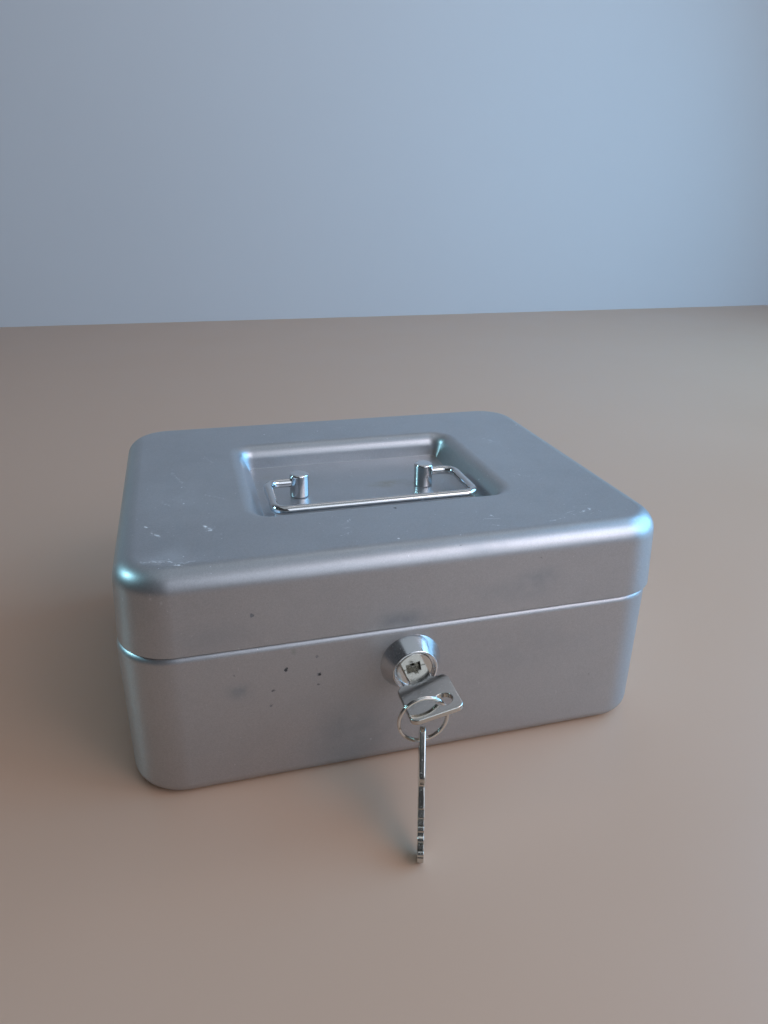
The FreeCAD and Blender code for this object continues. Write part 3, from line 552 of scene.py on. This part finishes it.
def lid_section(nx, ny):
    """The recess has steep long walls and more open end walls."""
    zc = TOP - TOP_R
    lr = R - 0.6 * max(0.0, -nx) ** 2       # the left wall lies a little further in
    uc = lr - TOP_R / cd - (zc - SEAM) * td
    slope = 85.0 - 24.0 * nx * nx
    ec, er = (11.5, TOP - 6.3), 6.3
    floor = TOP - 10.0
    tp = (ec[0] + er * math.cos(math.radians(90 + slope)), ec[1] + er * math.sin(math.radians(90 + slope)))
    fr = 0.25
    fz = floor + fr
    fdz = fz + fr * math.sin(math.radians(slope - 90))
    fu = tp[0] - (tp[1] - fdz) / math.tan(math.radians(slope)) - fr * math.cos(math.radians(slope - 90))
    fc = (fu, fz)
    s = []
    # upper face: recess floor, hollow foot, wall, rolled edge
    s += rows(REC, [(fu * 0.35, floor, 0, 1), (fu * 0.9, floor, 0, 1)])
    s += rows(REC, arc_pts(fc, fr, -90, slope - 90, 8, -1.0))
    s += rows(REC, arc_pts(ec, er, 90 + slope, 90, 24))
    # top plate, rounded edge, drafted wall
    s += rows(REC, [(12.1, TOP, 0, 1)])
    s += rows(OUT, [(uc - 0.6, TOP, 0, 1)])
    s += rows(OUT, arc_pts((uc, zc), TOP_R, 90, da, 18))
    lo = 0.28
    wl = lambda z, t=0.0: lr - (z - SEAM) * td - t / cd
    s += rows(OUT, [(wl(z), z, cd, sd) for z in (74.0, 69.0, 64.0, 60.0, 58.4)])
    e0 = (wl(SEAM + lo) - lo, SEAM + lo)
    s += rows(OUT, arc_pts(e0, lo, da, -90, 5))
    e1 = (wl(SEAM + lo, T) + lo, SEAM + lo)
    s += rows(OUT, arc_pts(e1, lo, -90, -180 + da, 5))
    # inside
    s += rows(OUT, [(wl(z, T), z, -cd, -sd) for z in (58.4, 60.0, 64.0, 69.0, 74.0)])
    s += rows(OUT, arc_pts((uc, zc), TOP_R - T, da, 90, 12, -1.0))
    s += rows(OUT, [(uc - 0.6, TOP - T, 0, -1)])
    s += rows(REC, [(12.1, TOP - T, 0, -1)])
    s += rows(REC, arc_pts(ec, er - T, 90, 90 + slope, 10, -1.0))
    s += rows(REC, arc_pts(fc, fr + T, slope - 90, -90, 10))
    s += rows(REC, [(fu * 0.9, floor - T, 0, -1), (fu * 0.35, floor - T, 0, -1)])
    return s


def base_section(nx, ny):
    """The base sits a little to the left and front under its lid, so its
    rounded shoulder shows there and the lid overhangs it on the right."""
    bu, ru = R - 0.7 - 0.65 * nx + 0.28 * max(0.0, -ny) ** 2, R - 2.0
    br, sr = 5.0, 3.0
    bc = bu - br
    sc = bu - sr
    end = math.degrees(math.acos((ru + 0.25 - sc) / sr))
    sz = 56.9 - sr * math.sin(math.radians(end))
    turn = math.degrees(math.acos((ru - T + 0.4 - sc) / (sr - T)))
    zi = sz + (sr - T) * math.sin(math.radians(turn))
    rim = 65.5
    s = []
    s += rows(OUT, [(bc - 3.0, 0, 0, -1), (bc - 0.5, 0, 0, -1)])
    s += rows(OUT, arc_pts((bc, br), br, -90, 0, 14))
    s += rows(OUT, [(bu, z, 1, 0) for z in (6.0, 16.0, 26.0, 36.0, 46.0, 53.0)])
    s += rows(OUT, arc_pts((sc, sz), sr, 0, end, 14))
    s += rows(OUT, arc_pts((ru + 0.25, 56.9 + 0.25), 0.25, -90, -180, 4, -1.0))
    s += rows(OUT, [(ru, 58.0, 1, 0), (ru, rim - 1.0, 1, 0)])
    s += rows(OUT, arc_pts((ru - T / 2, rim - T / 2), T / 2, 0, 180, 10))
    s += rows(OUT, [(ru - T, rim - 1.0, -1, 0), (ru - T, 57.6, -1, 0)])
    s += rows(OUT, [(ru - T, zi + 0.4, -1, 0), (ru - T + 0.12, zi + 0.12, -0.7, -0.7)])
    s += rows(OUT, arc_pts((sc, sz), sr - T, turn, 0, 6, -1.0))
    s += rows(OUT, [(bu - T, z, -1, 0) for z in (53.0, 40.0, 25.0, 10.0, 6.0)])
    s += rows(OUT, arc_pts((bc, br), br - T, 0, -90, 10, -1.0))
    s += rows(OUT, [(bc - 0.5, T, 0, 1), (bc - 3.0, T, 0, 1)])
    return s


lid, nn = swept("lid_skin", lid_section, M_LID, cap_start=1, cap_end=1)
fix_normals(lid, nn)
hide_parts("lid_shell")
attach(lid, "lid")

base, nn = swept("base_skin", base_section, M_BASE, cap_start=-1, cap_end=1)
fix_normals(base, nn)
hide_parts("base_shell")
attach(base, "base")

# ------------------------------------------------------------------------ ring
# Split ring: two turns of flattened wire that step across where they cross.
E1 = Vector((1.0, 0.0, 0.0))
RC = Vector((-5.4, -104.8, 37.8))
RN = E1.cross(Vector((0, 0, 1)))


def split_ring():
    turns, steps = 1.97, 220
    hw, ht = 0.53, 0.29                 # half radial width, half thickness
    prof = []
    for i in range(14):
        a = 2 * math.pi * i / 14
        c, s = math.cos(a), math.sin(a)
        prof.append((hw * math.copysign(abs(c) ** 0.7, c), ht * math.copysign(abs(s) ** 0.7, s)))
    verts, faces = [], []
    start = math.radians(205)
    for i in range(steps + 1):
        t = i / steps
        a = start + 2 * math.pi * turns * t
        k = min(1.0, max(0.0, (t - 0.44) / 0.12))
        k = k * k * (3 - 2 * k)
        ax = -0.33 + 0.66 * k
        grow = 1.0
        end = min(t, 1 - t)
        if end < 0.006:
            grow = 0.55 + 0.45 * (end / 0.006) ** 0.5
        rad = E1 * math.cos(a) + Vector((0, 0, 1)) * math.sin(a)
        for pr, pz in prof:
            verts.append(RC + rad * (8.25 + pr * grow) + RN * (ax + pz * grow))
    n = len(prof)
    for i in range(steps):
        for j in range(n):
            faces.append((i * n + j, i * n + (j + 1) % n, (i + 1) * n + (j + 1) % n, (i + 1) * n + j))
    faces.append(tuple(reversed(range(n))))
    faces.append(tuple(steps * n + j for j in range(n)))
    ob = new_mesh("split_ring", verts, faces, None, M_RING)
    return ob


ring = split_ring()
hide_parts("key_ring")
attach(ring, "ring")

# ------------------------------------------------------------------------ keys
# Stamped flat keys: rounded rim on the bow, softened blade, milled slot on
# both faces, bitting on both edges.
def half_width(y, side):
    w = 4.0 if y < -84.7 else 3.5
    if y > -71.0:
        w = min(w, 3.5 - (y + 71.0) / 1.8 * 2.0)
    for cy, d0, d1 in ((-80.8, 0.9, 0.5), (-77.3, 0.4, 1.1), (-73.8, 1.2, 0.6), (-70.3, 0.6, 0.9)):
        dep = d0 if side > 0 else d1
        k = (abs(y - cy) - 0.6) / (0.15 + 0.6 * dep)
        w = min(w, 3.5 - dep * (1.0 - min(1.0, max(0.0, k))) if k < 1.0 else w)
    return w


def key_outline():
    pts = []
    for cx, cy, a0 in ((-6.5, -107.5, 180), (6.5, -107.5, 270)):
        for i in range(13):
            a = math.radians(a0 + 90 * i / 12)
            pts.append((cx + 2.5 * math.cos(a), cy + 2.5 * math.sin(a)))
    for i in range(13):
        a = math.radians(90 * i / 12)
        pts.append((6.5 + 2.5 * math.cos(a), -94.5 + 2.5 * math.sin(a)))
    for i in range(1, 9):
        a = math.radians(270 - 90 * i / 8)
        pts.append((4.9 + 0.9 * math.cos(a), -91.1 + 0.9 * math.sin(a)))
    ys = [-88.0, -84.9, -84.55] + [-83.4 + 0.2 * i for i in range(71)]
    right = [(half_width(y, 1), y) for y in ys] + [(1.5, -69.2)]
    left = [(-half_width(y, -1), y) for y in ys] + [(-1.5, -69.2)]
    right = [p for i, p in enumerate(right) if i < 3 or p[1] > -84.0]
    pts += right + left[::-1]
    for i in range(8):
        a = math.radians(0 - 90 * i / 8)
        pts.append((-4.9 + 0.9 * math.cos(a), -91.1 + 0.9 * math.sin(a)))
    for i in range(13):
        a = math.radians(90 + 90 * i / 12)
        pts.append((-6.5 + 2.5 * math.cos(a), -94.5 + 2.5 * math.sin(a)))
    out = []
    for p in pts:
        if not out or math.hypot(p[0] - out[-1][0], p[1] - out[-1][1]) > 1e-4:
            out.append(p)
    return out


def loop_frames(pts):
    """For each point of a closed loop: bisector, mitre and the two edge
    normals, pointing away from the material."""
    n, out = len(pts), []
    for i in range(n):
        (ax, ay), (bx, by), (cx, cy) = pts[i - 1], pts[i], pts[(i + 1) % n]
        l0, l1 = math.hypot(bx - ax, by - ay), math.hypot(cx - bx, cy - by)
        n0 = ((by - ay) / l0, (ax - bx) / l0)
        n1 = ((cy - by) / l1, (bx - cx) / l1)
        sx, sy = n0[0] + n1[0], n0[1] + n1[1]
        ln = math.hypot(sx, sy)
        m = (sx / ln, sy / ln)
        k = 1.0 / max(0.6, m[0] * n0[0] + m[1] * n0[1])
        out.append((m, k, n0, n1))
    return out


def corner(fr, seg):
    """Normal of a wall corner: smooth along curves, split at sharp turns."""
    m = fr[0]
    return m if m[0] * seg[0] + m[1] * seg[1] > 0.90 else seg


def plate(name, loops, slots, t, mat, place):
    """Flat plate of half thickness t. loops: [(points, rounding per point)],
    the outline anticlockwise and holes clockwise. slots: [(points, depth)],
    clockwise, milled into both faces."""
    verts, faces, norms = [], [], []
    steps = (0, 22.5, 45, 67.5, 90)
    caps = {1: [], -1: []}
    for pts, radii in loops:
        fr = loop_frames(pts)
        n = len(pts)
        ring = {}
        for side in (1, -1):
            for k, ph in enumerate(steps):
                c, s = math.cos(math.radians(ph)), math.sin(math.radians(ph))
                ids = []
                for i in range(n):
                    m, mi = fr[i][0], fr[i][1]
                    d = radii[i] * (1 - c) * mi
                    ids.append(len(verts))
                    verts.append((pts[i][0] - m[0] * d, pts[i][1] - m[1] * d, side * (t - radii[i] * (1 - s))))
                ring[side, k] = ids
        for i in range(n):
            j = (i + 1) % n
            seg = fr[i][3]
            ci, cj = corner(fr[i], seg), corner(fr[j], seg)
            lo, hi = ring[-1, 0], ring[1, 0]
            faces.append((lo[i], lo[j], hi[j], hi[i]))
            norms.append([(ci[0], ci[1], 0), (cj[0], cj[1], 0), (cj[0], cj[1], 0), (ci[0], ci[1], 0)])
            for side in (1, -1):
                for k in range(len(steps) - 1):
                    f = [(ring[side, k][i], k, ci), (ring[side, k][j], k, cj),
                         (ring[side, k + 1][j], k + 1, cj), (ring[side, k + 1][i], k + 1, ci)]
                    if side < 0:
                        f.reverse()
                    faces.append(tuple(x[0] for x in f))
                    norms.append([(x[2][0] * math.cos(math.radians(steps[x[1]])),
                                   x[2][1] * math.cos(math.radians(steps[x[1]])),
                                   side * math.sin(math.radians(steps[x[1]]))) for x in f])
        for side in (1, -1):
            caps[side].append(ring[side, len(steps) - 1])
    for pts, depth in slots:
        fr = loop_frames(pts)
        n = len(pts)
        for side in (1, -1):
            up = list(range(len(verts), len(verts) + n))
            verts += [(x, y, side * t) for x, y in pts]
            dn = list(range(len(verts), len(verts) + n))
            verts += [(x, y, side * (t - depth)) for x, y in pts]
            for i in range(n):
                j = (i + 1) % n
                s = fr[i][3]
                f = [dn[i], dn[j], up[j], up[i]]
                if side < 0:
                    f.reverse()
                faces.append(tuple(f))
                norms.append([(s[0], s[1], 0)] * 4)
            bottom = dn[::-1] if side > 0 else dn
            faces.append(tuple(bottom))
            norms.append([(0, 0, side)] * n)
            caps[side].append(up)
    for side in (1, -1):
        flat = [i for ids in caps[side] for i in ids]
        tris = tessellate_polygon([[Vector((verts[i][0], verts[i][1], 0.0)) for i in ids] for ids in caps[side]])
        for a, b, c in tris:
            ids = [flat[a], flat[b], flat[c]]
            (x0, y0, _), (x1, y1, _), (x2, y2, _) = (verts[i] for i in ids)
            if ((x1 - x0) * (y2 - y0) - (x2 - x0) * (y1 - y0)) * side < 0:
                ids.reverse()
            faces.append(tuple(ids))
            norms.append([(0, 0, side)] * 3)
    rot = place.to_3x3()
    me = bpy.data.meshes.new(name)
    me.from_pydata([tuple((place @ Vector(v)) * MM) for v in verts], [], faces)
    me.polygons.foreach_set("use_smooth", [True] * len(me.polygons))
    me.update()
    me.normals_split_custom_set([tuple((rot @ Vector(n)).normalized()) for face in norms for n in face])
    me.materials.append(mat)
    ob = bpy.data.objects.new(name, me)
    scene.collection.objects.link(ob)
    return ob


def key_piece(name, place, mat):
    outline = key_outline()
    rim = [0.48 if y < -92.0 else (0.22 + 0.26 * min(1.0, max(0.0, (-90.0 - y) / 2.0))) if y < -84.7 else 0.14
           for x, y in outline]
    hole = [(3.7 + 2.9 * math.cos(-2 * math.pi * i / 40), -104.3 + 2.9 * math.sin(-2 * math.pi * i / 40)) for i in range(40)]
    slot = []
    for cx, cy, a0 in ((-0.5, -70.6, 180), (0.1, -70.6, 90), (0.1, -88.1, 0), (-0.5, -88.1, -90)):
        for i in range(5):
            a = math.radians(a0 - 90 * i / 4)
            slot.append((cx + 0.4 * math.cos(a), cy + 0.4 * math.sin(a)))
    return plate(name, [(outline, rim), (hole, [0.30] * 40)], [(slot, 0.45)], 1.0, mat, place)


turn = math.radians(11.2)
in_lock = Matrix(((math.cos(turn), 0, -math.sin(turn), -2.0), (0, 1, 0, 0),
                  (math.sin(turn), 0, math.cos(turn), 42.5), (0, 0, 0, 1)))
key = key_piece("key_in_lock", in_lock, M_NICKEL)
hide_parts("lock_key")
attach(key, "key")

hang = Matrix(((-0.20967257, -0.21453898, 0.95394467), (-0.66675878, -0.68223396, -0.2999826),
               (0.71517141, -0.69894911, 0.0))).to_4x4()
hang.translation = Vector((-5.4, -104.8, 29.55)) - hang.to_3x3() @ Vector((3.7, -105.95, 0.0))
spare = key_piece("key_on_ring", hang, M_NICKEL)
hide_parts("spare_key")
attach(spare, "spare")

# ------------------------------------------------------------------- the stage
floor_mat = Graph("pale_floor")
f = floor_mat
fn = f.noise(f.pos, 6.0, 3.0, 0.5)
f.set(Base_Color=f.mix(fn, rgb(0.600, 0.390, 0.270), rgb(0.635, 0.425, 0.305)), Roughness=f.ramp(fn, 0.3, 0.7, 0.36, 0.42))
f.bsdf.inputs["IOR"].default_value = 1.5
me = bpy.data.meshes.new("floor")
S = 6.0
me.from_pydata([(-S, -S, 0), (S, -S, 0), (S, S, 0), (-S, S, 0)], [], [(0, 1, 2, 3)])
me.materials.append(f.mat)
floor = bpy.data.objects.new("floor", me)
scene.collection.objects.link(floor)

me = bpy.data.meshes.new("backdrop")
me.from_pydata([(-S, 0.95, 0), (S, 0.95, 0), (S, 0.95, 3.0), (-S, 0.95, 3.0)], [], [(0, 1, 2, 3)])
b = Graph("pale_wall")
bn = b.noise(b.pos, 3.0, 3.0, 0.5)
b.set(Base_Color=b.mix(bn, rgb(0.62, 0.60, 0.60), rgb(0.66, 0.64, 0.64)), Roughness=b.ramp(bn, 0.3, 0.7, 0.7, 0.8))
me.materials.append(b.mat)
wall = bpy.data.objects.new("backdrop", me)
scene.collection.objects.link(wall)

# --------------------------------------------------------------------- lighting
world = bpy.data.worlds.new("studio")
scene.world = world
world.use_nodes = True
wn = world.node_tree
bg = wn.nodes["Background"]
bg.inputs["Color"].default_value = (0.86, 0.91, 1.0, 1.0)
bg.inputs["Strength"].default_value = 0.055


def area(name, loc, target, size, power, colour, card=False):
    """Soft panel; a card shows only as a highlight and lights no matt surface."""
    li = bpy.data.lights.new(name, "AREA")
    li.shape = "RECTANGLE"
    li.size, li.size_y = size
    li.energy = power
    li.color = colour
    ob = bpy.data.objects.new(name, li)
    ob.location = loc
    d = Vector(target) - Vector(loc)
    ob.rotation_euler = d.to_track_quat("-Z", "Y").to_euler()
    ob.visible_camera = False
    ob.visible_diffuse = not card
    scene.collection.objects.link(ob)
    return ob


area("window_right", (1.06, -0.10, 0.50), (0.10, -0.04, 0.05), (1.10, 0.94), 15.5, (0.27, 0.62, 1.0))
area("window_left", (-1.35, 0.36, 0.80), (-0.08, -0.07, 0.08), (0.22, 0.30), 7.0, (0.42, 0.86, 1.0), card=True)
area("ceiling", (0.25, -0.12, 1.25), (0.25, -0.12, 0.0), (1.6, 1.4), 2.8, (0.80, 0.90, 1.0))
area("window_front", (0.68, -0.70, 0.80), (0.05, 0.0, 0.06), (0.66, 0.75), 3.6, (1.0, 0.84, 0.84))
area("front_wall", (0.42, -1.20, 0.80), (0.05, 0.0, 0.06), (1.0, 1.2), 5.4, (0.78, 0.87, 1.0))
area("wall_wash", (0.50, 0.45, 1.25), (0.40, 0.95, 0.72), (1.0, 0.3), 1.1, (1.0, 0.96, 0.94))

# ----------------------------------------------------------------------- camera
cam = bpy.data.cameras.new("camera")
cam.sensor_width = 36.0
cam.sensor_fit = "AUTO"
cam.lens = 728.69 / 1024.0 * 36.0
cam.clip_start = 0.01
cam_ob = bpy.data.objects.new("camera", cam)
r_ = Vector((0.96439154, -0.26414982, 0.01318432))
u_ = Vector((0.09439854, 0.39035244, 0.91581324))
f_ = Vector((0.24705844, 0.88195796, -0.40138795))
cam_ob.matrix_world = Matrix(((r_.x, u_.x, -f_.x, -0.069666), (r_.y, u_.y, -f_.y, -0.283514),
                              (r_.z, u_.z, -f_.z, 0.193992), (0, 0, 0, 1)))
scene.collection.objects.link(cam_ob)
scene.camera = cam_ob

scene.view_settings.view_transform = "Standard"
scene.view_settings.look = "None"
scene.view_settings.exposure = 0.0
